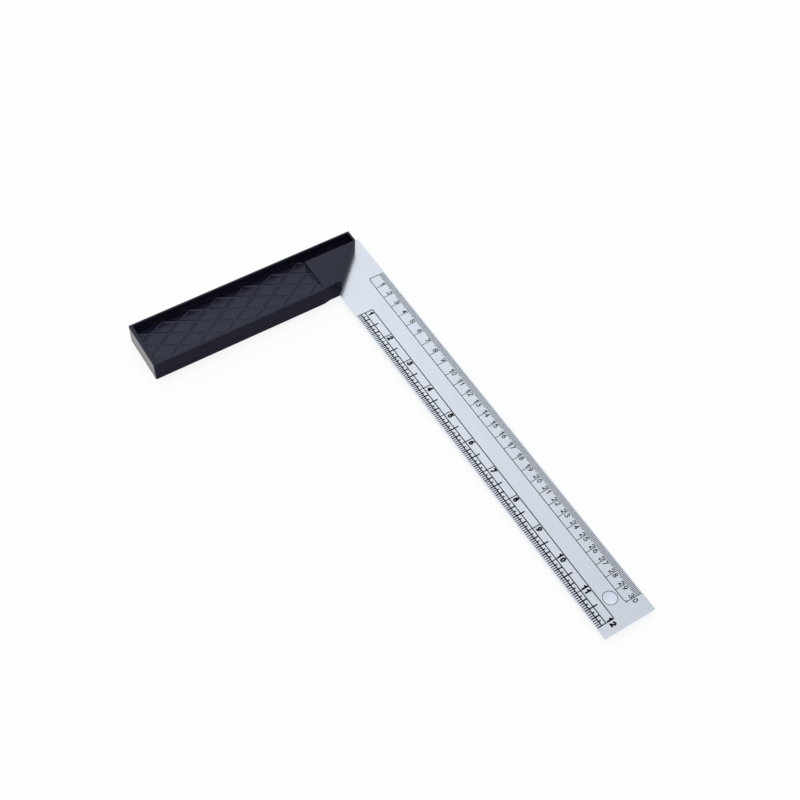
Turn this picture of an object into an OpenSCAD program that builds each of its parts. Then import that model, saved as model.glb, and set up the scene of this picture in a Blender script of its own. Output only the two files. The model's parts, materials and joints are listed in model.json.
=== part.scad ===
// Try and mitre square: a ruled steel blade clamped in a two-part moulded stock.
// X runs along the blade to its tip, Y along the stock towards its heel, Z up through the blade.
// The origin is the inner corner: working face, blade's inner edge, middle of the blade's thickness.

/* [Blade] */
// Length of the steel strip, from its butt to its tip
blade_len = 350; // [250:1:600]
// Width of the strip
blade_w = 38.5; // [34:0.1:48]
// Thickness of the strip
blade_t = 1; // [0.6:0.1:1.6]
// Radius of the strip's four corners
blade_corner_r = 0.8; // [0.2:0.1:3]
// Diameter of the hang hole
hang_hole_d = 9; // [5:0.5:14]
// Distance from the tip to the centre of the hang hole
hang_hole_inset = 20.2; // [12:0.1:60]

/* [Stock] */
// Length of the stock along the working face
stock_len = 175.5; // [140:0.5:260]
// Width of the stock from its outer face to the working face
stock_w = 40; // [36:0.5:50]
// Height of the upper moulding above the blade
body_h = 9.9; // [9:0.1:14]
// Thickness of the base under the blade
base_t = 4.5; // [3.2:0.1:8]
// How far the blade's outer edge stands past the stock's heel
blade_overhang = 6.6; // [2:0.1:10]
// Wall of the stock between the blade's butt and the outer face
tang_setback = 2.9; // [2:0.1:6]
// Radius of the stock's upright corners
stock_corner_r = 1.2; // [0.4:0.1:4]
// Chamfer along the stock's top and bottom edges
edge_chamfer = 0.2; // [0.1:0.1:1]
// Depth of the line where the two mouldings meet
parting_groove = 0.3; // [0.1:0.1:0.6]

/* [Inner corner] */
// How far the mitre starts above the blade's inner edge, measured on the working face
mitre_lap = 2; // [0.5:0.1:4]
// Depth by which the working face is set back beside the blade
relief_depth = 1.2; // [0.5:0.1:2.5]
// Length of the set-back face below the blade's inner edge
relief_len = 6; // [4:0.5:20]
// Length of the ramp between the working face and the set-back face
relief_ramp = 6; // [1:0.5:10]
// Radius of the burr groove in the inner corner
burr_groove_r = 1; // [0.5:0.1:1.4]
// Depth of the burr groove from the stock's top
burr_groove_depth = 5; // [2:0.1:7]

/* [Grip tray] */
// Depth of the tray below the rim, beside the working face
tray_near = 1.2; // [0.6:0.1:3]
// Depth of the tray below the rim, beside the outer face
tray_far = 6.4; // [3:0.1:6.6]
// Width of the rim along the outer face
rim_outer = 1.5; // [1:0.1:4]
// Width of the rim along the working face
rim_inner = 2.4; // [1.5:0.1:6]
// Width of the rim across the grip end
rim_grip = 2.6; // [1:0.1:5]
// Width of the rim across the heel
rim_heel = 1.4; // [1:0.1:5]
// Radius of the tray's corners
tray_corner_r = 1.5; // [0.5:0.1:2.5]
// How far the plain pad reaches below the blade's inner edge
pad_reach = 10.3; // [6:0.1:20]
// Width of the channel between the pad and the outer rim
channel_w = 8.8; // [5:0.1:10]

/* [Quilted ribs] */
// Distance between neighbouring ribs along the stock
quilt_pitch = 21.6; // [12:0.1:30]
// Angle of the ribs to the stock's length
quilt_angle = 33; // [20:1:45]
// Distance from the outer face to the row of rib crossings
quilt_row = 17; // [8:0.1:24]
// Distance from the pad to the first rib crossing
quilt_start = 3.2; // [0:0.1:12]
// Width of a rib at its foot
rib_foot = 2.8; // [1.2:0.1:4]
// Width of a rib at its crest
rib_crest = 0.6; // [0.4:0.1:1]
// Height of a rib above the tray's floor
rib_h = 0.4; // [0.2:0.1:1]
// Depth of a rib's root in the tray's floor
rib_root = 0.4; // [0.2:0.1:1]

/* [Mouldings] */
// Thickness of the mouldings' outer walls
wall_t = 2; // [1.5:0.1:2.8]
// Thickness of the skin under the tray and in the base
skin_t = 2; // [1.2:0.1:2.4]
// Thickness of the webs between the cored cells
web_t = 1.4; // [0.8:0.1:2.5]
// Number of cored cells along the grip
cell_rows = 6; // [3:1:10]
// Height of the base's locating lip
lip_h = 1; // [0.5:0.1:1.2]
// Thickness of the base's locating lip
lip_t = 1.2; // [0.8:0.1:2]
// Gap around the locating lip and along the blade's inner edge
seat_gap = 0.15; // [0.05:0.05:0.4]

/* [Screws] */
// Diameter of the screw shanks
screw_d = 2.9; // [2:0.1:3.5]
// Diameter of the screw heads
head_d = 5.6; // [4.5:0.1:6.5]
// Height of the screw heads
head_h = 1.9; // [1.4:0.1:2.2]
// Rise of the domed end of a head
head_dome = 0.8; // [0.3:0.1:1.2]
// Width of the slots of the cross recess
cross_w = 0.9; // [0.5:0.1:1.2]
// Length of the slots of the cross recess
cross_len = 3; // [2:0.1:4]
// Depth of the cross recess
cross_depth = 1.1; // [0.6:0.1:1.2]
// How far the heads lie below the base's face
head_sink = 0.3; // [0.1:0.1:0.6]
// Diameter of the bosses that the screws go into
boss_d = 7.5; // [6:0.1:9]
// Gap all round a shank in a plain hole, and round a head
screw_gap = 0.25; // [0.1:0.05:0.4]
// Gap all round a shank in its pilot hole
pilot_gap = 0.05; // [0.02:0.01:0.1]
// Gap between a screw's point and the end of its pilot hole
point_gap = 0.6; // [0.2:0.1:1]
// Skin left above the pilot holes in the pad
pad_skin = 2.5; // [1.5:0.1:3]
// Skin left above the pilot holes under the tray
tray_skin = 1.2; // [0.8:0.1:1.6]
// Distance from the outer face to the far tang screws
tang_from_outer = 14.5; // [13.5:0.5:17]
// Distance from the working face to the near tang screw
tang_from_working = 12; // [11:0.5:15]
// Distance from the blade's inner edge to the lower tang screws
tang_from_edge = 6.5; // [5:0.1:8]
// Distance from the heel to the upper tang screw
tang_from_heel = 13; // [11:0.5:16]
// Distance from the pad to the first grip screw
grip_screw_start = 14; // [9:0.5:25]
// Distance from the grip end to the last grip screw
grip_screw_end = 16; // [9:0.5:30]

/* [Hidden] */
$fn = 48;
past = 1;

// Heights
blade_top = blade_t / 2;
parting = -blade_t / 2;
stock_top = blade_top + body_h;
stock_bottom = parting - base_t;
lip_top = parting + lip_h;
bearing = stock_bottom + head_sink + head_h;

// Places in plan
outer_x = -stock_w;
butt_x = outer_x + tang_setback;
tip_x = butt_x + blade_len;
heel_y = blade_w - blade_overhang;
grip_y = heel_y - stock_len;
heel_mitre_x = mitre_lap - heel_y;
tray_x = outer_x + rim_outer;
tray_w = stock_w - rim_outer - rim_inner;
tray_y = grip_y + rim_grip;
tray_len = -pad_reach - tray_y;
core_x = outer_x + wall_t;
core_w = stock_w - 2 * wall_t;
core_y = grip_y + wall_t;
core_len = -pad_reach - wall_t - core_y;
cell_w = (core_w - web_t) / 2;
cell_len = (core_len - (cell_rows - 1) * web_t) / cell_rows;
tray_slope = atan2(tray_far - tray_near, tray_w);
quilt_x = outer_x + quilt_row;
quilt_y = -pad_reach - quilt_start;

// Screw places: three through the blade's tang, three along the middle of the grip
grip_mid_x = core_x + core_w / 2;
first_grip_y = -pad_reach - grip_screw_start;
last_grip_y = grip_y + grip_screw_end;
TANG_SCREWS = [
    [outer_x + tang_from_outer, tang_from_edge],
    [outer_x + tang_from_outer, heel_y - tang_from_heel],
    [-tang_from_working, tang_from_edge]
];
GRIP_SCREWS = [for (share = [0, 0.5, 1]) [grip_mid_x, first_grip_y + share * (last_grip_y - first_grip_y)]];
tang_pilot_top = stock_top - pad_skin;
grip_pilot_top = floor_z(grip_mid_x) - tray_skin;
grip_boss_top = floor_z(grip_mid_x) - skin_t / 2;

PLASTIC = "#33343d";
STEEL = "#d3d9e4";
ZINC = "#9aa0a8";

// Corner points of the stock in plan, anticlockwise from the grip end of the outer face
STOCK_POINTS = [
    [outer_x, grip_y],
    [0, grip_y],
    [0, -relief_len - relief_ramp],
    [-relief_depth, -relief_len],
    [-relief_depth, mitre_lap + relief_depth],
    [heel_mitre_x, heel_y],
    [outer_x, heel_y]
];
ROUNDED_CORNERS = [0, 1, 5, 6];
CHAMFERED_EDGES = [0, 1, 4, 5, 6];
PARTING_EDGES = [0, 1, 6];

// Height of the tray's floor, which falls away from the working face
function floor_z(x) = stock_top - tray_near - (-rim_inner - x) * tan(tray_slope);
function unit(v) = v / norm(v);
function wrapped(i) = (i + len(STOCK_POINTS)) % len(STOCK_POINTS);

// What is cut from a sharp corner p, whose edges run along a and b, to leave an arc of radius r
module corner_waste(p, a, b, r) {
    half = acos(a * b) / 2;
    middle = unit(a + b);
    reach = r / tan(half);
    centre = p + middle * r / sin(half);
    difference() {
        polygon([p - middle * past, p + a * reach, centre, p + b * reach]);
        translate(centre) circle(r);
    }
}

module rounded_rect(size, r) {
    translate([r, 0]) square([size[0] - 2 * r, size[1]]);
    translate([0, r]) square([size[0], size[1] - 2 * r]);
    for (x = [r, size[0] - r], y = [r, size[1] - r])
        translate([x, y]) circle(r);
}

// Plan of both mouldings: a bar with a mitred head and a set-back inner corner
module stock_outline() {
    difference() {
        polygon(STOCK_POINTS);
        for (i = ROUNDED_CORNERS) {
            p = STOCK_POINTS[i];
            before = STOCK_POINTS[wrapped(i - 1)];
            after = STOCK_POINTS[wrapped(i + 1)];
            corner_waste(p, unit(before - p), unit(after - p), stock_corner_r);
        }
    }
}

// Square bars that cut straight edges of the stock at height z to a depth
module edge_bars(edges, z, depth) {
    for (i = edges) {
        p = STOCK_POINTS[i];
        q = STOCK_POINTS[wrapped(i + 1)];
        run = q - p;
        bar = depth * sqrt(2);
        translate([p[0], p[1], z])
            rotate(atan2(run[1], run[0]))
                translate([norm(run) / 2, 0, 0])
                    rotate([45, 0, 0])
                        cube([norm(run) + 2 * depth, bar, bar], center = true);
    }
}

// The grip part of the tray, under the quilted ribs
module grip_outline() {
    translate([tray_x, tray_y]) rounded_rect([tray_w, tray_len], tray_corner_r);
}

// The whole tray: the grip part, and the channel that runs on between the pad and the outer rim
module tray_outline() {
    grip_outline();
    lap = 4 * tray_corner_r;
    translate([tray_x, -pad_reach - lap])
        rounded_rect([channel_w, lap + pad_reach + heel_y - rim_heel], tray_corner_r);
}

// Everything above the tray's sloping floor, lowered by drop
module above_floor(drop) {
    translate([-rim_inner, grip_y - past, stock_top - tray_near - drop])
        rotate([0, -tray_slope, 0])
            translate([-2 * stock_w, 0, 0])
                cube([3 * stock_w, stock_len + 2 * past, stock_w]);
}

// One rib with a flat crest, long enough to cross the tray
module rib(turn) {
    reach = 2 * tray_w / sin(quilt_angle);
    rotate(turn)
        rotate([90, 0, 0])
            linear_extrude(reach, center = true)
                polygon([
                    [-rib_foot / 2, -rib_root],
                    [rib_foot / 2, -rib_root],
                    [rib_foot / 2, 0],
                    [rib_crest / 2, rib_h],
                    [-rib_crest / 2, rib_h],
                    [-rib_foot / 2, 0]
                ]);
}

// Two crossing families of ribs on the sloping floor, cut to the tray
module quilt() {
    spare = ceil(2 * tray_w / tan(quilt_angle) / quilt_pitch);
    last = ceil(tray_len / quilt_pitch) + spare;
    intersection() {
        translate([0, 0, stock_top - tray_far - past]) linear_extrude(past + tray_far) grip_outline();
        translate([-rim_inner, 0, stock_top - tray_near])
            rotate([0, -tray_slope, 0])
                for (turn = [-quilt_angle, quilt_angle], k = [-spare : last])
                    translate([(quilt_x + rim_inner) / cos(tray_slope), quilt_y - k * quilt_pitch, 0]) rib(turn);
    }
}

// Two columns of cored cells along the grip, up to height top
module cored_cells(bottom, top) {
    for (column = [0, 1], row = [0 : cell_rows - 1])
        translate([
            core_x + column * (cell_w + web_t),
            core_y + row * (cell_len + web_t),
            bottom
        ])
            cube([cell_w, cell_len, top - bottom]);
}

module at_each(places) {
    for (place = places) translate(place) children();
}

// Upper moulding: tray, rim, pad and mitre above, cored cells and screw bosses below
module stock_body() {
    color(PLASTIC)
        difference() {
            union() {
                difference() {
                    translate([0, 0, parting]) linear_extrude(stock_top - parting) stock_outline();
                    intersection() {
                        translate([0, 0, stock_top - tray_far - past])
                            linear_extrude(tray_far + 2 * past) tray_outline();
                        above_floor(0);
                    }
                    translate([core_x, core_y, parting - past])
                        cube([core_w, core_len, past + lip_h + seat_gap]);
                    difference() {
                        cored_cells(parting, stock_top);
                        above_floor(skin_t);
                    }
                }
                quilt();
                at_each(GRIP_SCREWS)
                    translate([0, 0, parting]) cylinder(d = boss_d, h = grip_boss_top - parting);
            }
            edge_bars(CHAMFERED_EDGES, stock_top, edge_chamfer);
            edge_bars(PARTING_EDGES, parting, parting_groove);
            translate([-relief_depth, -burr_groove_r, stock_top - burr_groove_depth])
                cylinder(r = burr_groove_r, h = burr_groove_depth + past);
            translate([butt_x - seat_gap, -seat_gap, parting - past])
                cube([stock_w + past, heel_y + seat_gap + past, past + blade_t]);
            at_each(TANG_SCREWS)
                translate([0, 0, parting])
                    cylinder(d = screw_d + 2 * pilot_gap, h = tang_pilot_top - parting);
            at_each(GRIP_SCREWS)
                translate([0, 0, parting - past])
                    cylinder(d = screw_d + 2 * pilot_gap, h = grip_pilot_top - parting + past);
        }
}

// Lip on the base that locates it in the mouth of the cored grip, open round the bosses
module locating_lip() {
    inset = seat_gap + lip_t;
    translate([0, 0, parting])
        linear_extrude(lip_h)
            difference() {
                translate([core_x + seat_gap, core_y + seat_gap])
                    square([core_w - 2 * seat_gap, core_len - 2 * seat_gap]);
                translate([core_x + inset, core_y + inset])
                    square([core_w - 2 * inset, core_len - 2 * inset]);
            }
}

// Lower moulding: a cored plate that closes the stock and clamps the blade's tang
module stock_base() {
    color(PLASTIC)
        difference() {
            union() {
                difference() {
                    translate([0, 0, stock_bottom]) linear_extrude(base_t) stock_outline();
                    cored_cells(stock_bottom + skin_t, parting + past);
                }
                at_each(GRIP_SCREWS)
                    translate([0, 0, stock_bottom]) cylinder(d = boss_d, h = base_t);
                locating_lip();
            }
            edge_bars(CHAMFERED_EDGES, stock_bottom, edge_chamfer);
            edge_bars(PARTING_EDGES, parting, parting_groove);
            at_each(concat(TANG_SCREWS, GRIP_SCREWS)) {
                translate([0, 0, stock_bottom - past])
                    cylinder(d = head_d + 2 * screw_gap, h = bearing - stock_bottom + past);
                translate([0, 0, stock_bottom])
                    cylinder(d = screw_d + 2 * screw_gap, h = base_t + past);
            }
        }
}

// Ruled steel strip with its hang hole and the tang's screw holes
module blade() {
    color(STEEL)
        translate([0, 0, parting])
            linear_extrude(blade_t)
                difference() {
                    translate([butt_x, 0]) rounded_rect([blade_len, blade_w], blade_corner_r);
                    translate([tip_x - hang_hole_inset, blade_w / 2]) circle(d = hang_hole_d);
                    at_each(TANG_SCREWS) circle(d = screw_d + 2 * screw_gap);
                }
}

// Domed screw with a cross recess, its head down and its shank up to height top
module screw(place, top) {
    r = head_d / 2;
    dome_r = (r * r + head_dome * head_dome) / (2 * head_dome);
    color(ZINC)
        translate([place[0], place[1], bearing]) {
            cylinder(d = screw_d, h = top - bearing);
            difference() {
                intersection() {
                    translate([0, 0, -head_h]) cylinder(d = head_d, h = head_h);
                    translate([0, 0, dome_r - head_h]) sphere(dome_r);
                }
                for (turn = [0, 90])
                    rotate(turn)
                        translate([-cross_len / 2, -cross_w / 2, -head_h - past])
                            cube([cross_len, cross_w, cross_depth + past]);
            }
        }
}

module tang_screw(i) {
    screw(TANG_SCREWS[i], tang_pilot_top - point_gap);
}

module grip_screw(i) {
    screw(GRIP_SCREWS[i], grip_pilot_top - point_gap);
}

blade();
stock_body();
stock_base();
for (i = [0 : len(TANG_SCREWS) - 1]) {
    tang_screw(i);
}
for (i = [0 : len(GRIP_SCREWS) - 1]) {
    grip_screw(i);
}
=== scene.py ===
"""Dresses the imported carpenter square: a ruled steel blade in a black moulded stock, on a white floor."""
import json
import logging
from dataclasses import dataclass, field
from enum import Enum
from typing import Union

import bpy
import numpy as np
from mathutils import Matrix, Vector


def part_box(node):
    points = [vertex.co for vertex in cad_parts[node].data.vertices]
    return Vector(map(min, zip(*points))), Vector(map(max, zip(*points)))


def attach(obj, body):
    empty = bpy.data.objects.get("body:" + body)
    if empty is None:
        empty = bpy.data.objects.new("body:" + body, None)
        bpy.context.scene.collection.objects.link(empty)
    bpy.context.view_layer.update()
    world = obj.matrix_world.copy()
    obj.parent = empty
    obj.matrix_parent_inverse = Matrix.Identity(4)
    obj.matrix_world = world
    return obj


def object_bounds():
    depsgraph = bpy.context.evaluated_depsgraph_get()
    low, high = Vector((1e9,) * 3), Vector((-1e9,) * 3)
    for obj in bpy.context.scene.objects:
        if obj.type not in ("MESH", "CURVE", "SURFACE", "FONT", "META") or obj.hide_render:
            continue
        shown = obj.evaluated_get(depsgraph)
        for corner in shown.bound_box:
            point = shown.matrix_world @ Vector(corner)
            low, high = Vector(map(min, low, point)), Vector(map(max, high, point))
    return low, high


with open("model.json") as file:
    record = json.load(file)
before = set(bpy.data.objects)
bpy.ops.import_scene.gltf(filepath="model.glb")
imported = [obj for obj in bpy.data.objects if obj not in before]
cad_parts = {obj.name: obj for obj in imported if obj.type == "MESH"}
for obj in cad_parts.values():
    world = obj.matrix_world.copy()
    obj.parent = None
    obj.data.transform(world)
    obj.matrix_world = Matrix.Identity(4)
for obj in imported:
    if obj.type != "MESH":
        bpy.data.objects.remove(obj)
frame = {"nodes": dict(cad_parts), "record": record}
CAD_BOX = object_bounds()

MM = 0.001
INCH = 25.4 * MM
ROOT = "root"
WHITE = (1.0, 1.0, 1.0, 1.0)
NOISE_OCTAVES = 3.0
NOISE_MIDDLE = (0.25, 0.75)
TONE_STOPS = (0.3, 0.7)
EDGE_SAMPLES = 6

Socket = bpy.types.NodeSocket
Feed = Union[Socket, float, tuple, Vector]

log = logging.getLogger("carpenter_square")


class NumberSide(Enum):
    """Where a number stands, seen along the scale, against its tick."""

    BEFORE = -1
    ASTRIDE = 0
    AFTER = 1


class InkWeight(Enum):
    """How thick the strokes of a printed number are, as a share of its height."""

    LIGHT = 0.16
    BOLD = 0.27


@dataclass
class MeshData:
    """Corners and four-sided faces of a piece that is still being put together.

    Attributes:
        verts: Corner points in metres, one row each.
        faces: Vertex numbers, one row of four for each face.
    """

    verts: np.ndarray = field(default_factory=lambda: np.zeros((0, 3)))
    faces: np.ndarray = field(default_factory=lambda: np.zeros((0, 4), dtype=int))

    def add(self, other: "MeshData") -> None:
        """Appends another mesh, with its vertex numbers moved up past this one's."""
        self.faces = np.vstack([self.faces, other.faces + len(self.verts)])
        self.verts = np.vstack([self.verts, other.verts])

    def piece(self, name: str) -> bpy.types.Object:
        """Makes a scene object of this mesh, at the origin.

        Args:
            name: Name of the new object.

        Returns:
            The object, linked to the scene.
        """
        mesh = bpy.data.meshes.new(name)
        mesh.from_pydata(self.verts.tolist(), [], self.faces.tolist())
        mesh.validate()
        mesh.update()
        made = bpy.data.objects.new(name, mesh)
        bpy.context.scene.collection.objects.link(made)
        return made


def flat_bars(rects: np.ndarray, low: float, high: float) -> MeshData:
    """Closed flat bars on the blade's face.

    Bar i is the box over rects[i] = (x0, x1, y0, y1), between the heights low and high. Its eight corners
    pair every x with every y and every height, so all bars come from one indexing of the whole table.

    Args:
        rects: One row of x0, x1, y0, y1 for each bar, in metres.
        low: Height of the bars' undersides.
        high: Height of the bars' tops.

    Returns:
        The bars as one mesh.
    """
    corner_x = np.array([0, 1, 1, 0, 0, 1, 1, 0])
    corner_y = np.array([2, 2, 3, 3, 2, 2, 3, 3])
    heights = np.array([low] * 4 + [high] * 4)
    count = len(rects)
    levels = np.tile(heights, (count, 1))
    verts = np.stack([rects[:, corner_x], rects[:, corner_y], levels], axis=-1)
    sides = np.array([[3, 2, 1, 0], [4, 5, 6, 7], [0, 1, 5, 4], [1, 2, 6, 5], [2, 3, 7, 6], [3, 0, 4, 7]])
    faces = np.arange(count)[:, None, None] * len(heights) + sides
    return MeshData(verts.reshape(-1, 3), faces.reshape(-1, 4))


def ribbon(path: np.ndarray, width: float, low: float, high: float) -> MeshData:
    """A closed printed line that follows an open path.

    At each path point the line's two edges lie half a width to either side, along the normal of the mean of
    the two neighbouring directions. Every point gives four corners: left and right, at low and high.

    Args:
        path: Points (x, y) of the line's middle, in metres.
        width: Width of the line.
        low: Height of its underside.
        high: Height of its top.

    Returns:
        The line as one closed mesh.
    """
    heading = np.gradient(path, axis=0)
    heading /= np.linalg.norm(heading, axis=1, keepdims=True)
    normal = np.stack([-heading[:, 1], heading[:, 0]], axis=1)
    left, right = path + normal * width / 2, path - normal * width / 2
    count = len(path)
    rows = [np.column_stack([edge, np.full(count, z)]) for z in (low, high) for edge in (left, right)]
    verts = np.stack(rows, axis=1).reshape(-1, 3)
    ring = np.array([0, 1, 3, 2])
    start = 4 * np.arange(count - 1)[:, None]
    quads = [
        np.column_stack([start + a, start + 4 + a, start + 4 + b, start + b])
        for a, b in zip(np.roll(ring, -1), ring)
    ]
    caps = [ring[::-1], 4 * (count - 1) + ring]
    return MeshData(verts, np.vstack(quads + caps))


def rounded_corner(corner: tuple, start: tuple, end: tuple, radius: float, steps: int = 8) -> np.ndarray:
    """Points of the quarter turn that rounds a square corner of a printed line.

    The arc's centre lies one radius from the corner along both arms, and point k turns from the arm of start
    to the arm of end by k / steps of a right angle.

    Args:
        corner: The sharp corner (x, y).
        start: Unit direction from the corner along the arm that the line comes from.
        end: Unit direction from the corner along the arm that the line leaves by.
        radius: Radius of the turn.
        steps: Number of stretches in the turn.

    Returns:
        Points of the arc, in order.
    """
    a, b = np.array(start), np.array(end)
    centre = np.array(corner) + radius * (a + b)
    turn = np.linspace(0, np.pi / 2, steps + 1)[:, None]
    return centre - radius * (b * np.cos(turn) + a * np.sin(turn))


def revolved(profile: np.ndarray, centre: tuple, steps: int) -> MeshData:
    """A ring: a closed profile carried round an upright axis.

    Vertex (i, j) is profile point j = (r, z), turned by i / steps of a full turn: (r cos a, r sin a, z).

    Args:
        profile: Points (r, z) of the ring's section, anticlockwise with r to the right and z up.
        centre: Place (x, y) of the axis.
        steps: Number of sections round the ring.

    Returns:
        The ring as one closed mesh.
    """
    count = len(profile)
    angle = np.linspace(0, 2 * np.pi, steps, endpoint=False)[:, None]
    radius, height = profile[None, :, 0], profile[None, :, 1]
    across = centre[0] + radius * np.cos(angle)
    along = centre[1] + radius * np.sin(angle)
    verts = np.stack([across, along, np.broadcast_to(height, (steps, count))], axis=-1)
    i, j = np.meshgrid(np.arange(steps), np.arange(count), indexing="ij")
    after, beside = (i + 1) % steps, (j + 1) % count
    quads = np.stack([i * count + j, after * count + j, after * count + beside, i * count + beside], axis=-1)
    return MeshData(verts.reshape(-1, 3), quads.reshape(-1, 4))


def bow(centre: tuple, radii: tuple, start: float, end: float, steps: int = 16) -> np.ndarray:
    """Part of an ellipse: centre + radii * (cos a, sin a), while a goes from start to end.

    Args:
        centre: Middle (x, y) of the ellipse.
        radii: Half its width and half its height.
        start: First angle, in degrees.
        end: Last angle, in degrees.
        steps: Number of stretches.

    Returns:
        Points of the curve, in order.
    """
    turn = np.radians(np.linspace(start, end, steps + 1))[:, None]
    return np.array(centre) + np.array(radii) * np.hstack([np.cos(turn), np.sin(turn)])


def digit_strokes(digit: str) -> list[np.ndarray]:
    """Middle lines of a digit's strokes, in a box one wide and one high with its lower left corner at zero.

    Straight strokes are pairs of points, and round ones are parts of ellipses. Nine is six, turned half
    round.

    Args:
        digit: One digit.

    Returns:
        One array of points for each stroke.
    """
    six = [bow((0.5, 0.3), (0.5, 0.3), 90, 450), bow((0.95, 0.3), (0.95, 0.7), 180, 100)]
    shapes = {
        "0": [bow((0.5, 0.5), (0.5, 0.5), 90, 450)],
        "1": [np.array([(0.62, 0), (0.62, 1)]), np.array([(0.62, 0.98), (0.08, 0.7)])],
        "2": [
            np.vstack([bow((0.5, 0.72), (0.5, 0.28), 170, -30), [(0.04, 0.03)]]),
            np.array([(0, 0), (1, 0)]),
        ],
        "3": [bow((0.42, 0.76), (0.5, 0.24), 160, -90), bow((0.42, 0.27), (0.58, 0.27), 90, -155)],
        "4": [
            np.array([(0.76, 0), (0.76, 1)]),
            np.array([(0.72, 0.96), (0.02, 0.3)]),
            np.array([(0, 0.28), (1, 0.28)]),
        ],
        "5": [
            np.array([(0.92, 1), (0.14, 1)]),
            np.array([(0.13, 1), (0.06, 0.56)]),
            bow((0.45, 0.33), (0.55, 0.33), 140, -150),
        ],
        "6": six,
        "7": [np.array([(0, 1), (1, 1)]), np.array([(0.98, 0.97), (0.36, 0)])],
        "8": [bow((0.5, 0.76), (0.42, 0.24), 90, 450), bow((0.5, 0.27), (0.5, 0.27), 90, 450)],
        "9": [1 - stroke for stroke in six],
    }
    return shapes[digit]


def numeral(digit: str, box: tuple, weight: InkWeight, low: float, high: float) -> MeshData:
    """One printed digit, with its lower left corner at the origin.

    The strokes' middle lines are spread over the box less one stroke's width, and each line is then drawn
    out by half that width at both ends, so that strokes meet in full corners.

    Args:
        digit: The digit to print.
        box: Width and height of a full digit.
        weight: Thickness of the strokes.
        low: Height of the underside of the ink.
        high: Height of the top of the ink.

    Returns:
        The digit as one mesh of closed strokes.
    """
    stroke = weight.value * box[1]
    shape = MeshData()
    for line in digit_strokes(digit):
        path = line * (np.array(box) - stroke) + stroke / 2
        ends = np.array([path[0] - path[1], path[-1] - path[-2]])
        ends *= stroke / 2 / np.linalg.norm(ends, axis=1, keepdims=True)
        path[0] += ends[0]
        path[-1] += ends[1]
        shape.add(ribbon(path, stroke, low, high))
    shape.verts[:, 0] -= shape.verts[:, 0].min()
    return shape


class NodeKit:
    """Short calls that make and join the nodes of one tree."""

    def __init__(self, tree: bpy.types.NodeTree) -> None:
        """Keeps the tree that the calls work on."""
        self.tree = tree

    def feed(self, socket: Socket, value: Feed) -> None:
        """Gives an input another node's output, or a constant.

        Args:
            socket: The input.
            value: The output or the constant.
        """
        if isinstance(value, Socket):
            self.tree.links.new(value, socket)
        else:
            socket.default_value = value

    def node(self, kind: str, inputs: dict, **settings: object) -> bpy.types.Node:
        """Makes a node, with its settings and inputs filled in.

        Args:
            kind: Type of the node, less the words that all shader nodes begin with.
            inputs: What each input is fed with, by the input's name or number.
            **settings: Properties of the node.

        Returns:
            The node.
        """
        made = self.tree.nodes.new(f"ShaderNode{kind}")
        for name, value in settings.items():
            setattr(made, name, value)
        for key, value in inputs.items():
            self.feed(made.inputs[key], value)
        return made

    def math(self, operation: str, *values: Feed) -> Socket:
        """The result of one operation on up to three numbers."""
        return self.node("Math", dict(enumerate(values)), operation=operation).outputs[0]

    def dot(self, first: Feed, second: Feed) -> Socket:
        """The cosine of the angle between two directions of length one."""
        return self.node("VectorMath", {0: first, 1: second}, operation="DOT_PRODUCT").outputs["Value"]

    def ranged(self, value: Feed, source: tuple, target: tuple = (0.0, 1.0)) -> Socket:
        """Maps one range of numbers to another, and holds the result inside that.

        Args:
            value: The number to map.
            source: The two ends of the number's own range.
            target: What these two ends become.

        Returns:
            The output that gives the mapped number.
        """
        ends = {"From Min": source[0], "From Max": source[1], "To Min": target[0], "To Max": target[1]}
        return self.node("MapRange", {"Value": value, **ends}).outputs["Result"]

    def blend(self, share: Feed, first: Feed, second: Feed) -> Socket:
        """Goes from a first number to a second as a share goes from 0 to 1."""
        return self.node("Mix", {0: share, 2: first, 3: second}, data_type="FLOAT").outputs[0]

    def tint(self, share: Feed, first: Feed, second: Feed) -> Socket:
        """Goes from a first colour to a second as a share goes from 0 to 1."""
        return self.node("Mix", {0: share, 6: first, 7: second}, data_type="RGBA").outputs[2]


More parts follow.
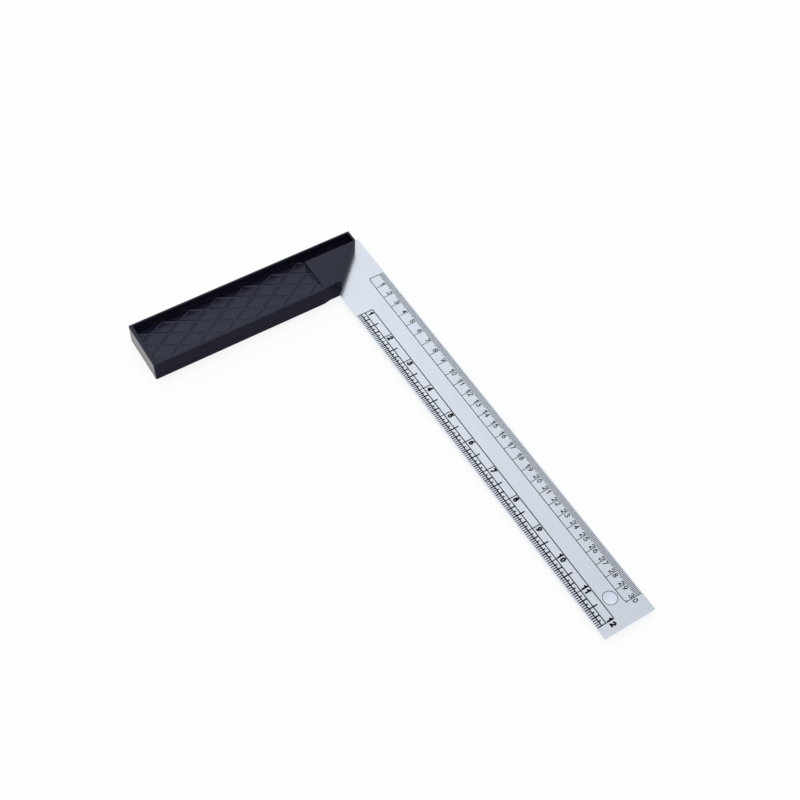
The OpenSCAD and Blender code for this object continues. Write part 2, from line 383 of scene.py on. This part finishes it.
class NodeMaterial(NodeKit):
    """A node material with one Principled shader, and short calls for what feeds it."""

    def __init__(self, name: str) -> None:
        """Makes the material and finds its shader.

        Args:
            name: Name of the material.
        """
        self.material = bpy.data.materials.new(name)
        self.material.use_nodes = True
        super().__init__(self.material.node_tree)
        self.shader = self.tree.nodes["Principled BSDF"]
        self.place = self.node("TexCoord", {}).outputs["Object"]

    def set(self, **values: Feed) -> None:
        """Feeds inputs of the shader by name, with _ for each space."""
        for name, value in values.items():
            self.feed(self.shader.inputs[name.replace("_", " ")], value)

    def noise(self, cells: Union[float, tuple]) -> Socket:
        """A noise over the piece.

        Args:
            cells: Number of noise cells per metre, the same all ways or along X, Y and Z.

        Returns:
            The output that gives the noise.
        """
        stretch = tuple(np.broadcast_to(cells, 3).tolist())
        place = self.node("Mapping", {"Vector": self.place, "Scale": stretch}).outputs["Vector"]
        inputs = {"Vector": place, "Scale": 1.0, "Detail": NOISE_OCTAVES}
        return self.node("TexNoise", inputs).outputs["Fac"]

    def spread(self, factor: Socket, low: float, high: float) -> Socket:
        """Maps the middle of a noise's range to the range from low to high."""
        return self.ranged(factor, NOISE_MIDDLE, (low, high))

    def tones(self, factor: Socket, dark: tuple, light: tuple) -> None:
        """Feeds the base colour with a blend of two tones by a noise.

        Args:
            factor: The noise.
            dark: Tone at the noise's low values.
            light: Tone at its high values.
        """
        ramp = self.node("ValToRGB", {"Fac": factor})
        for stop, position, tone in zip(ramp.color_ramp.elements, TONE_STOPS, (dark, light)):
            stop.position = position
            stop.color = (*tone, 1.0)
        self.set(Base_Color=ramp.outputs["Color"])

    def overlay(self, share: Socket, colour: tuple) -> None:
        """Lays a plain colour over the base colour by a share."""
        below = self.shader.inputs["Base Color"].links[0].from_socket
        self.set(Base_Color=self.tint(share, below, (*colour, 1.0)))

    def bump(self, height: Socket, strength: float, depth: float) -> bpy.types.Node:
        """Raises the surface's shading by a noise.

        Args:
            height: The noise.
            strength: Share of the effect that is used.
            depth: Depth of the noise, in metres.

        Returns:
            The node that does it.
        """
        node = self.node("Bump", {"Strength": strength, "Distance": depth, "Height": height})
        self.set(Normal=node.outputs["Normal"])
        return node

    def rounded_edges(self, radius: float) -> Socket:
        """The surface's direction with its edges rounded off to a radius in metres."""
        return self.node("Bevel", {"Radius": radius}, samples=EDGE_SAMPLES).outputs["Normal"]

    def flat_normal(self) -> Socket:
        """The direction of the flat face at a point."""
        return self.node("NewGeometry", {}).outputs["True Normal"]

    def facing(self, along: tuple, cosines: tuple) -> Socket:
        """How far a face looks in a direction, from 0 at the first cosine to 1 at the second."""
        return self.ranged(self.dot(self.flat_normal(), along), cosines)


@dataclass(frozen=True)
class BrushedSteel:
    """Satin strip steel, brushed along the blade.

    Attributes:
        dark: Tone in the brush lines.
        light: Tone between them.
        roughness: Least and greatest roughness across the lines.
        lines: Brush lines per metre along X, Y and Z.
        line_strength: Share of the lines' depth that shows.
        line_depth: Depth of the lines.
        smudges: Finger smudges per metre along X, Y and Z.
        smudge_tone: Tone of a full smudge.
        smudge_cover: Greatest share of that tone.
        smudge_dull: Roughness that a full smudge adds.
        smudge_share: Least and greatest share of the smudges in the roughness.
    """

    dark: tuple = (0.65, 0.697, 0.78)
    light: tuple = (0.728, 0.782, 0.867)
    roughness: tuple = (0.2, 0.28)
    lines: tuple = (40.0, 5200.0, 5200.0)
    line_strength: float = 0.25
    line_depth: float = 0.01 * MM
    smudges: tuple = (45.0, 110.0, 110.0)
    smudge_tone: tuple = (0.55, 0.58, 0.64)
    smudge_cover: float = 0.125
    smudge_dull: float = 0.06
    smudge_share: tuple = (0.2, 0.6)

    def make(self) -> bpy.types.Material:
        """Brushes and smudges the steel.

        Returns:
            The steel as a new material.
        """
        steel = NodeMaterial("brushed_blade_steel")
        brush, smudge = steel.noise(self.lines), steel.noise(self.smudges)
        steel.tones(brush, self.dark, self.light)
        steel.overlay(steel.spread(smudge, 0.0, self.smudge_cover), self.smudge_tone)
        least, greatest = self.roughness
        brushed = steel.spread(brush, least, greatest)
        dulled = steel.spread(smudge, least, greatest + self.smudge_dull)
        share = steel.spread(smudge, *self.smudge_share)
        steel.set(Metallic=1.0, Roughness=steel.blend(share, brushed, dulled))
        steel.bump(brush, self.line_strength, self.line_depth)
        return steel.material


@dataclass(frozen=True)
class MouldedPlastic:
    """Black moulded plastic with a fine spark-eroded grain, coarser on the faces that work is held against.

    Attributes:
        dark: Tone in its darker clouds.
        light: Tone in its lighter clouds.
        gloss: Strength of its gloss.
        sheen: Tint of its gloss.
        rubbed: Tone of edges that handling has rubbed.
        roughness: Least and greatest roughness of the smooth faces.
        matte: Roughness of the working face, which looks along the blade.
        matte_cosines: Where the matte finish begins and is full; the mitre lies between.
        polish: Roughness of the stock's grip end.
        polish_cosines: Where the polish begins and is full.
        grain: Grain cells per metre.
        grain_strength: Share of the grain's depth that shows.
        grain_depth: Depth of the grain.
        clouds: Cells per metre of the slow change of tone.
        edge_radius: Radius that the moulded edges are rounded to.
        edge_cosines: Where the rubbing of an edge begins and is full.
        wear: Rubbed patches per metre.
    """

    dark: tuple = (0.005, 0.0051, 0.0137)
    light: tuple = (0.008, 0.0081, 0.0203)
    gloss: float = 0.43
    sheen: tuple = (0.67, 0.74, 1.0)
    rubbed: tuple = (0.03, 0.031, 0.04)
    roughness: tuple = (0.3, 0.4)
    matte: float = 0.85
    matte_cosines: tuple = (0.5, 1.0)
    polish: float = 0.2
    polish_cosines: tuple = (0.6, 1.0)
    grain: float = 3200.0
    grain_strength: float = 0.3
    grain_depth: float = 0.02 * MM
    clouds: float = 90.0
    edge_radius: float = 0.6 * MM
    edge_cosines: tuple = (0.98, 0.75)
    wear: float = 260.0

    def make(self) -> bpy.types.Material:
        """Grains the plastic and rubs its edges.

        Returns:
            The plastic as a new material.
        """
        plastic = NodeMaterial("moulded_stock_plastic")
        plastic.set(Specular_IOR_Level=self.gloss, Specular_Tint=(*self.sheen, 1.0))
        plastic.tones(plastic.noise(self.clouds), self.dark, self.light)
        grain = plastic.noise(self.grain)
        matte_face = plastic.facing((1.0, 0.0, 0.0), self.matte_cosines)
        grip_end = plastic.facing((0.0, -1.0, 0.0), self.polish_cosines)
        smooth = plastic.blend(grip_end, plastic.spread(grain, *self.roughness), self.polish)
        plastic.set(Roughness=plastic.blend(matte_face, smooth, self.matte))
        soft = plastic.rounded_edges(self.edge_radius)
        edge = plastic.ranged(plastic.dot(soft, plastic.flat_normal()), self.edge_cosines)
        patches = plastic.spread(plastic.noise(self.wear), 0.0, 1.0)
        plastic.overlay(plastic.blend(patches, 0.0, edge), self.rubbed)
        raised = plastic.bump(grain, self.grain_strength, self.grain_depth)
        plastic.feed(raised.inputs["Normal"], soft)
        return plastic.material


@dataclass(frozen=True)
class ScreenInk:
    """Black ink printed on the blade, a little thin in places.

    Attributes:
        name: Name of the material.
        dark: Tone of a full film.
        light: Tone where the film is thin.
        gloss: Strength of its gloss.
        roughness: Least and greatest roughness.
        cells: Thin places per metre.
        relief_strength: Share of the film's relief that shows.
        relief_depth: Depth of that relief.
    """

    name: str
    dark: tuple
    light: tuple
    gloss: float = 0.04
    roughness: tuple = (0.5, 0.7)
    cells: float = 700.0
    relief_strength: float = 0.2
    relief_depth: float = 0.005 * MM

    def make(self) -> bpy.types.Material:
        """Mixes the ink.

        Returns:
            The ink as a new material.
        """
        ink = NodeMaterial(self.name)
        film = ink.noise(self.cells)
        ink.tones(film, self.dark, self.light)
        ink.set(Specular_IOR_Level=self.gloss, Roughness=ink.spread(film, *self.roughness))
        ink.bump(film, self.relief_strength, self.relief_depth)
        return ink.material


@dataclass(frozen=True)
class CloudedMetal:
    """Dull metal with a cloudy surface.

    Attributes:
        name: Name of the material.
        dark: Tone in its clouds.
        light: Tone between them.
        roughness: Least and greatest roughness.
        cells: Clouds per metre.
    """

    name: str
    dark: tuple
    light: tuple
    roughness: tuple
    cells: float

    def make(self) -> bpy.types.Material:
        """Clouds the metal.

        Returns:
            The metal as a new material.
        """
        metal = NodeMaterial(self.name)
        cloud = metal.noise(self.cells)
        metal.tones(cloud, self.dark, self.light)
        metal.set(Metallic=1.0, Roughness=metal.spread(cloud, *self.roughness))
        return metal.material


# Dark steel of the rim round the hang hole: painted shade at the hole's edge.
HOLE_SHADE_STEEL = CloudedMetal(
    name="hole_edge_painted_shade",
    dark=(0.09, 0.095, 0.11),
    light=(0.16, 0.17, 0.19),
    roughness=(0.4, 0.6),
    cells=1500.0,
)
ZINC_PLATE = CloudedMetal(
    name="zinc_plate",
    dark=(0.40, 0.41, 0.43),
    light=(0.58, 0.59, 0.61),
    roughness=(0.28, 0.45),
    cells=900.0,
)


def paint(piece: bpy.types.Object, material: bpy.types.Material) -> None:
    """Gives a piece one material in place of any that it has."""
    piece.data.materials.clear()
    piece.data.materials.append(material)


def settle(piece: bpy.types.Object, material: bpy.types.Material) -> None:
    """Paints a new piece and fixes it to the square.

    Args:
        piece: The new piece.
        material: Its finish.
    """
    paint(piece, material)
    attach(piece, ROOT)
    log.info("%s: %d faces", piece.name, len(piece.data.polygons))


def dress_solid(name: str, material: bpy.types.Material) -> None:
    """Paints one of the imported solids."""
    paint(frame["nodes"][name], material)
    log.info("%s dressed", name)


@dataclass(frozen=True)
class TickFamily:
    """Ticks of one length.

    Attributes:
        per_unit: Number of them in one numbered division.
        reach: How far they reach from the scale's edge.
        width: Their width.
        foot: Their width at the foot, where they are no longer than the finest ticks.
    """

    per_unit: int
    reach: float
    width: float
    foot: float


@dataclass(frozen=True)
class LongLine:
    """A line along the whole scale.

    Attributes:
        reach: Its distance from the scale's edge.
        width: Its width.
    """

    reach: float
    width: float


@dataclass
class PrintedScale:
    """One printed scale on the blade's upper face.

    Heights across the blade are measured from the scale's own edge, so the same code serves both edges.

    Attributes:
        name: Name that the scale's pieces begin with.
        edge: Place of the scale's edge across the blade, in metres.
        inward: 1 where the scale reaches towards +Y, -1 where it reaches towards -Y.
        unit: Length of one numbered division.
        first: First division that is drawn.
        last: Last division that is drawn.
        families: The ticks, the finest first.
        long_lines: The long lines, the outermost last.
        number_middle: Distance of the middle of the numbers from the edge.
        number_box: Width and height of a digit.
        weight: Thickness of the numbers' strokes.
        single_side: Where a number of one digit stands against its tick.
        corner_radius: Radius of the outermost line's two corners.
        ink: Finish of the print.
        gap_before: Distance between a tick and the digit before it, below zero where the digit covers it.
        gap_after: Distance between a tick and the digit after it.
        edge_gap: Bare steel between the scale's edge and its ticks.
        film: Height of the ink above the steel.
        sunk: Depth of the ink below the steel's face, so that the two never flicker.
    """

    name: str
    edge: float
    inward: int
    unit: float
    first: int
    last: int
    families: tuple
    long_lines: tuple
    number_middle: float
    number_box: tuple
    weight: InkWeight
    single_side: NumberSide
    corner_radius: float
    ink: ScreenInk
    gap_before: float
    gap_after: float
    edge_gap: float
    film: float = 0.03 * MM
    sunk: float = 0.01 * MM

    def across(self, reach: Union[float, np.ndarray]) -> Union[float, np.ndarray]:
        """Places across the blade at a reach from the scale's edge."""
        return self.edge + self.inward * reach

    def ticks(self, low: float, high: float) -> MeshData:
        """All ticks of the scale.

        Mark k of a family stands k / per_unit units from zero, and coarser families replace finer ones there.
        Each tick is a foot, as long as the finest family's ticks, and its family's own width above that.

        Args:
            low: Height of the ink's underside.
            high: Height of its top.

        Returns:
            The ticks as one mesh.
        """
        finest = self.families[0]
        marks = np.arange(self.first * finest.per_unit, self.last * finest.per_unit + 1)
        sizes = np.zeros((len(marks), 3))
        for family in self.families:
            belongs = marks % (finest.per_unit // family.per_unit) == 0
            sizes = np.where(belongs[:, None], (family.reach, family.width, family.foot), sizes)
        reach, width, foot = sizes.T
        x = marks * self.unit / finest.per_unit
        starts = np.full(len(marks), self.edge_gap)
        knee = np.full(len(marks), finest.reach)
        bars = MeshData()
        for begin, end, wide in ((starts, knee, foot), (knee, reach, width)):
            taller = end > begin
            span = np.sort(np.column_stack([self.across(begin), self.across(end)]), axis=1)
            rects = np.column_stack([x - wide / 2, x + wide / 2, span])
            bars.add(flat_bars(rects[taller], low, high))
        return bars

    def rules(self, low: float, high: float) -> MeshData:
        """The long lines. The outermost turns up into the first and last ticks; the others are straight.

        Args:
            low: Height of the ink's underside.
            high: Height of its top.

        Returns:
            The lines as one mesh.
        """
        lines = MeshData()
        start, end = self.first * self.unit, self.last * self.unit
        back = (0.0, -float(self.inward))
        *straight_lines, outer_line = self.long_lines
        for line in straight_lines:
            straight = np.column_stack([np.linspace(start, end, 3), np.full(3, self.across(line.reach))])
            lines.add(ribbon(straight, line.width, low, high))
        outermost = self.across(outer_line.reach)
        path = np.vstack([
            [(start, self.across(self.edge_gap))],
            rounded_corner((start, outermost), back, (1.0, 0.0), self.corner_radius),
            rounded_corner((end, outermost), (-1.0, 0.0), back, self.corner_radius),
            [(end, self.across(self.edge_gap))],
        ])
        lines.add(ribbon(path, outer_line.width, low, high))
        return lines

    def numbers(self, low: float, high: float) -> MeshData:
        """The numbers, upright when the blade's outer edge is up.

        A one-digit number stands to one side of its tick. The digits of a longer one stand astride it.

        Args:
            low: Height of the ink's underside.
            high: Height of its top.

        Returns:
            The numbers as one mesh.
        """
        printed = MeshData()
        foot = self.across(self.number_middle) - self.number_box[1] / 2
        for value in range(max(self.first, 1), self.last + 1):
            label = str(value)
            side = self.single_side if len(label) == 1 else NumberSide.ASTRIDE
            sides = (NumberSide.BEFORE, NumberSide.AFTER) if side is NumberSide.ASTRIDE else (side,)
            for digit, stands in zip(label, sides):
                shape = numeral(digit, self.number_box, self.weight, low, high)
                width = np.ptp(shape.verts[:, 0])
                shift = self.gap_after if stands is NumberSide.AFTER else -self.gap_before - width
                shape.verts += (value * self.unit + shift, foot, 0.0)
                printed.add(shape)
        return printed

    def build(self, face: float) -> None:
        """Prints the scale.

        Args:
            face: Height of the blade's upper face.
        """
        low, high = face - self.sunk, face + self.film
        ink = self.ink.make()
        for part, shape in (("ticks", self.ticks), ("rules", self.rules), ("numbers", self.numbers)):
            settle(shape(low, high).piece(f"{self.name}_{part}"), ink)


@dataclass
class PunchedRim:
    """A thin raised rim round the hang hole on both faces of the blade; its dark steel is painted shade.

    Attributes:
        width: Width of the rim.
        rise: Height of its middle above the steel.
        sunk: Depth of its foot below the steel's face.
        turns: Number of sections round the hole.
        arch_points: Number of points over the rim's crown.
        dull: Its dark steel, painted shade at the hole's edge.
    """

    width: float = 0.45 * MM
    rise: float = 0.05 * MM
    sunk: float = 0.02 * MM
    turns: int = 72
    arch_points: int = 9
    dull: CloudedMetal = HOLE_SHADE_STEEL

    def section(self, radius: float, face: float) -> np.ndarray:
        """Half an ellipse from the rim's outer edge to its inner one, closed by a flat foot.

        Args:
            radius: Radius of the hole.
            face: Height of the blade's upper face.

        Returns:
            Points (r, z), anticlockwise.
        """
        turn = np.linspace(0, np.pi, self.arch_points)
        middle = radius + self.width / 2
        arch = np.column_stack([middle + np.cos(turn) * self.width / 2, face + np.sin(turn) * self.rise])
        low = face - self.sunk
        return np.vstack([arch, [(radius, low), (radius + self.width, low)]])

    def build(self, face: float) -> None:
        """Puts a rim on each face, the lower one as the upper one's reflection in the blade's middle plane.

        Args:
            face: Height of the blade's upper face.
        """
        hole = next(mount for mount in frame["record"]["mounts"] if mount["name"] == "hang_hole")
        upper = self.section(hole["dims"]["r_mm"] * MM, face)
        lower = upper[::-1] * (1.0, -1.0)
        material = self.dull.make()
        for name, profile in (("hole_rim_upper", upper), ("hole_rim_lower", lower)):
            settle(revolved(profile, hole["pos_m"][:2], self.turns).piece(name), material)


@dataclass
class Blade:
    """The ruled steel strip.

    Attributes:
        node: Name of its solid.
        steel: Its finish.
        rim: The rim of its hang hole, whose dark steel is painted shade.
    """

    node: str = "blade"
    steel: BrushedSteel = BrushedSteel()
    rim: PunchedRim = field(default_factory=PunchedRim)

    def dress(self) -> None:
        """Brushes the steel."""
        dress_solid(self.node, self.steel.make())

    def centimetres(self) -> PrintedScale:
        """Lays out the centimetre scale along the outer edge.

        Returns:
            The scale, ready to be printed.
        """
        return PrintedScale(
            name="centimetre_scale",
            edge=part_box(self.node)[1][1],
            inward=-1,
            unit=10 * MM,
            first=0,
            last=30,
            families=(
                TickFamily(10, 4.8 * MM, 0.4 * MM, 0.4 * MM),
                TickFamily(2, 5.3 * MM, 0.5 * MM, 0.42 * MM),
                TickFamily(1, 13.05 * MM, 0.42 * MM, 0.4 * MM),
            ),
            long_lines=(LongLine(13.05 * MM, 0.5 * MM),),
            number_middle=7.0 * MM,
            number_box=(2.4 * MM, 3.9 * MM),
            weight=InkWeight.LIGHT,
            single_side=NumberSide.BEFORE,
            corner_radius=2.5 * MM,
            ink=ScreenInk("fine_scale_ink", (0.01, 0.01, 0.013), (0.028, 0.028, 0.032)),
            gap_before=0.4 * MM,
            gap_after=0.9 * MM,
            edge_gap=0.7 * MM,
        )

    def inches(self) -> PrintedScale:
        """Lays out the inch scale along the inner edge.

        Returns:
            The scale, ready to be printed.
        """
        return PrintedScale(
            name="inch_scale",
            edge=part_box(self.node)[0][1],
            inward=1,
            unit=INCH,
            first=1,
            last=12,
            families=(
                TickFamily(16, 3.55 * MM, 0.66 * MM, 0.66 * MM),
                TickFamily(8, 5.2 * MM, 0.9 * MM, 0.66 * MM),
                TickFamily(4, 6.7 * MM, 0.95 * MM, 0.9 * MM),
                TickFamily(2, 9.9 * MM, 0.95 * MM, 0.9 * MM),
                TickFamily(1, 12.85 * MM, 0.65 * MM, 0.8 * MM),
            ),
            long_lines=(
                LongLine(3.55 * MM, 0.8 * MM),
                LongLine(6.7 * MM, 0.7 * MM),
                LongLine(12.85 * MM, 0.65 * MM),
            ),
            number_middle=10.15 * MM,
            number_box=(2.9 * MM, 4.4 * MM),
            weight=InkWeight.BOLD,
            single_side=NumberSide.AFTER,
            corner_radius=0.6 * MM,
            ink=ScreenInk("bold_scale_ink", (0.005, 0.005, 0.007), (0.014, 0.014, 0.017)),
            gap_before=-0.6 * MM,
            gap_after=1.2 * MM,
            edge_gap=0.5 * MM,
        )

    def build(self) -> None:
        """Rims the hang hole in painted shade and prints both scales on the upper face."""
        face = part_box(self.node)[1][2]
        for part in (self.rim, self.centimetres(), self.inches()):
            part.build(face)


@dataclass
class Stock:
    """The two black mouldings that hold the blade.

    Attributes:
        nodes: Names of their solids.
        plastic: Their finish.
    """

    nodes: tuple = ("stock_body", "stock_base")
    plastic: MouldedPlastic = MouldedPlastic()

    def dress(self) -> None:
        """Gives both mouldings the same grained plastic."""
        material = self.plastic.make()
        for name in self.nodes:
            dress_solid(name, material)


@dataclass
class Screws:
    """The six screws in the base.

    Attributes:
        prefixes: How the names of their solids begin.
        zinc: Their finish.
    """

    prefixes: tuple = ("tang_screw", "grip_screw")
    zinc: CloudedMetal = ZINC_PLATE

    def dress(self) -> None:
        """Plates every screw."""
        material = self.zinc.make()
        for name in frame["nodes"]:
            if name.startswith(self.prefixes):
                dress_solid(name, material)


@dataclass
class Studio:
    """White floor, soft light from behind and above, and the camera.

    Attributes:
        eye: Where the camera stands.
        aim: Point on the blade's middle plane that it looks at.
        roll: Turn of the camera about its line of sight, in radians.
        focal: Focal length, in widths of the picture.
        sensor: Width of the sensor, in millimetres.
        clip: Nearest and farthest distance that the camera sees.
        floor_size: Width of the floor.
        floor_tone: Colour of the floor.
        floor_roughness: Roughness of the floor.
        glow: Direction that the light comes from.
        base_light: Strength of the light from everywhere.
        glow_light: Strength of the extra light from the glow's direction.
        glow_focus: Power that narrows the glow.
        seen_white: Share of plain white in what the camera sees of the open floor.
        foot_white: The same share at the foot of the stock, lowered by ambient occlusion: partly painted
            shade.
        foot_reach: How far from the stock its foot's shade is felt.
        under_white: The same share under the blade, lowered there for a painted shadow.
        under_tone: Cool tone that takes white's place there, painted into that shadow.
        under_reach: How far inside the blade's edges these two are full.
        mirrored_white: Share of plain white in what reflections show of the floor.
    """

    eye: tuple = (510.18 * MM, -301.66 * MM, 701.6 * MM)
    aim: tuple = (101.55 * MM, -12.03 * MM, 0.0)
    roll: float = np.radians(3.847)
    focal: float = 1280.39 / 800
    sensor: float = 36.0
    clip: tuple = (0.01, 50.0)
    floor_size: float = 8.0
    floor_tone: tuple = (0.95, 0.95, 0.95)
    floor_roughness: float = 0.9
    glow: tuple = (-0.55, -0.35, 0.76)
    base_light: float = 0.32
    glow_light: float = 1.28
    glow_focus: float = 2.0
    seen_white: float = 0.94
    foot_white: float = 0.75
    foot_reach: float = 9 * MM
    # Less plain white under the blade: a painted shadow.
    under_white: float = 0.6
    # Cool tint of the painted shadow under the blade.
    under_tone: tuple = (0.8, 0.87, 1.0)
    under_reach: float = 8 * MM
    mirrored_white: float = 0.85

    def camera(self) -> None:
        """Stands the camera where the photographer stood, with no shift and no depth of field."""
        data = bpy.data.cameras.new("camera")
        data.sensor_width = self.sensor
        data.lens = self.focal * self.sensor
        data.clip_start, data.clip_end = self.clip
        made = bpy.data.objects.new("camera", data)
        bpy.context.scene.collection.objects.link(made)
        eye = Vector(self.eye)
        sight = (Vector(self.aim) - eye).to_track_quat("-Z", "Y").to_matrix().to_4x4()
        made.matrix_world = Matrix.Translation(eye) @ sight @ Matrix.Rotation(self.roll, 4, "Z")
        bpy.context.scene.camera = made

    def floor(self) -> None:
        """Lays a white floor at the foot of the stock."""
        half = self.floor_size / 2
        corners = np.array([[-half, -half], [half, -half], [half, half], [-half, half]])
        verts = np.column_stack([corners, np.full(len(corners), CAD_BOX[0][2])])
        piece = MeshData(verts, np.array([[0, 1, 2, 3]])).piece("floor")
        paint(piece, self.floor_finish())

    def floor_finish(self) -> bpy.types.Material:
        """A dull white whose look to the camera and in reflections is topped up with plain white.

        The share of plain white is seen * camera + mirrored * (glossy or transmission), by the kind of ray.
        What the camera sees has less of it at the foot of the stock, by ambient occlusion, so that the
        square's shadow stays, with some painted shade; under the blade it has less and a cool tone: a painted
        shadow.

        Returns:
            The finish as a new material.
        """
        white = NodeMaterial("white_floor")
        white.set(
            Base_Color=(*self.floor_tone, 1.0),
            Roughness=self.floor_roughness,
            Specular_IOR_Level=0.0,
        )
        ray = white.node("LightPath", {}).outputs
        # Ambient occlusion lowers the white near the stock: its real shadow shows, deepened by painted shade.
        cover = white.node("AmbientOcclusion", {"Distance": self.foot_reach}).outputs["AO"]
        near = white.ranged(cover, (0.0, 1.0), (self.foot_white, self.seen_white))
        # Painted shadow under the blade: less plain white there, and a cool tone in its place.
        under = self.under_blade(white)
        seen = white.blend(under, near, self.under_white)
        bounced = white.math("MAXIMUM", ray["Is Glossy Ray"], ray["Is Transmission Ray"])
        mirrored = white.math("MULTIPLY", bounced, self.mirrored_white)
        share = white.math("MULTIPLY_ADD", ray["Is Camera Ray"], seen, mirrored)
        # The painted shadow's cool tone, under the blade.
        tone = white.tint(under, WHITE, (*self.under_tone, 1.0))
        plain = white.node("Emission", {"Color": tone}).outputs["Emission"]
        mixer = white.node("MixShader", {0: share, 1: white.shader.outputs["BSDF"], 2: plain})
        white.feed(white.tree.nodes["Material Output"].inputs["Surface"], mixer.outputs["Shader"])
        return white.material

    def under_blade(self, floor: NodeMaterial) -> Socket:
        """How far a point lies under the blade, the painted shadow's mask: 0 at the blade's edges, and 1 well
        inside them.

        The depth is the lesser, over x and y, of the half size less the distance from the blade's middle.

        Args:
            floor: Finish of the floor.

        Returns:
            The output that gives the share.
        """
        low, high = (np.array(corner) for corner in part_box("blade"))
        middle, half = (low + high) / 2, (high - low) / 2
        place = floor.node("SeparateXYZ", {0: floor.place}).outputs
        depths = []
        for axis in range(2):
            away = floor.math("ABSOLUTE", floor.math("SUBTRACT", place[axis], float(middle[axis])))
            depths.append(floor.math("SUBTRACT", float(half[axis]), away))
        return floor.ranged(floor.math("MINIMUM", *depths), (0.0, self.under_reach))

    def light(self) -> None:
        """Lights the square from a white dome that is brightest in the glow's direction.

        The dome's strength in direction d is base + glow * max(0, d . g) to the power of the glow's focus.
        The camera sees plain white.
        """
        world = bpy.data.worlds.new("white_dome")
        bpy.context.scene.world = world
        world.use_nodes = True
        dome = NodeKit(world.node_tree)
        shade = dome.tree.nodes["Background"]
        direction = dome.node("TexCoord", {}).outputs["Generated"]
        towards = dome.math("MAXIMUM", dome.dot(direction, Vector(self.glow).normalized()), 0.0)
        focused = dome.math("POWER", towards, self.glow_focus)
        strength = dome.math("MULTIPLY_ADD", focused, self.glow_light, self.base_light)
        ray = dome.node("LightPath", {}).outputs
        dome.feed(shade.inputs["Color"], WHITE)
        dome.feed(shade.inputs["Strength"], dome.blend(ray["Is Camera Ray"], strength, 1.0))

    def build(self) -> None:
        """Sets the view transform and puts the studio round the square."""
        bpy.context.scene.view_settings.view_transform = "Standard"
        self.camera()
        self.floor()
        self.light()


def main() -> None:
    """Dresses the solids, prints the scales and sets up the studio."""
    logging.basicConfig(level=logging.INFO, format="%(name)s: %(message)s")
    Studio().build()
    blade = Blade()
    blade.dress()
    blade.build()
    Stock().dress()
    Screws().dress()


if __name__ == "__main__":
    main()
